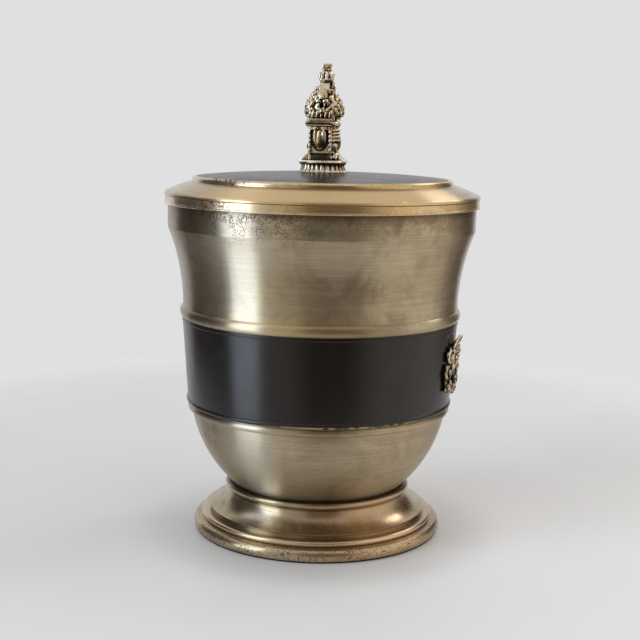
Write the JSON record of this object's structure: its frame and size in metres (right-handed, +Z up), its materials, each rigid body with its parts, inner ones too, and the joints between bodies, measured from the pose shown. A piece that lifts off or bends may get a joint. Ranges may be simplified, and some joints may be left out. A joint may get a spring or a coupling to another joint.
{
  "type": "lidded ice bucket",
  "caption": "Footed, double-walled brass ice bucket with a dark band, a cast crest and a lift-off lid with a seated lion knob.",
  "frame": {"origin": "centre of the foot's underside, on the surface the bucket stands on", "axes": "+Z up through the knob, -Y through the crest on the band, so the lion on the lid faces -X"},
  "size_m": [0.165, 0.165, 0.2465],
  "materials": {
    "satin_brass": "satin antique brass with fine circumferential brushing and an olive patina",
    "golden_brass": "golden brass, worn and tarnished in places",
    "foot_brass": "satin brass with a warm, lightly tarnished patina",
    "cast_brass": "polished casting with dark patina in its recesses",
    "dark_lacquer": "near-black brown lacquer, satin gloss",
    "felt": "black felt",
    "liner_metal": "satin aluminium",
    "foam": "closed-cell foam",
    "rubber": "matt black rubber",
    "steel": "zinc-plated steel",
    "plated_nut": "polished brass cap nut"
  },
  "bodies": {
    "bucket": {"foot_pad": "felt", "foot": "foot_brass", "foot_bolt": "steel", "foot_washer": "steel", "foot_nut": "steel", "body_shell": "satin_brass", "band": "dark_lacquer", "medallion": "cast_brass", "medallion_washers": "steel", "medallion_nuts": "steel", "rim_ring": "golden_brass", "rim_gasket": "rubber", "liner": "liner_metal", "insulation": "foam"},
    "lid": {"lid_shell": "satin_brass", "lid_bezel": "golden_brass", "lid_dome": "dark_lacquer", "lid_pan": "liner_metal", "lid_insulation": "foam", "finial": "cast_brass", "finial_stud": "steel", "finial_washer": "steel", "finial_nut": "plated_nut"}
  },
  "joints": [
    {"name": "lid_lift", "type": "slide", "parent": "bucket", "child": "lid", "axis": [0, 0, 1], "range_m": [0, 0.12]}
  ]
}
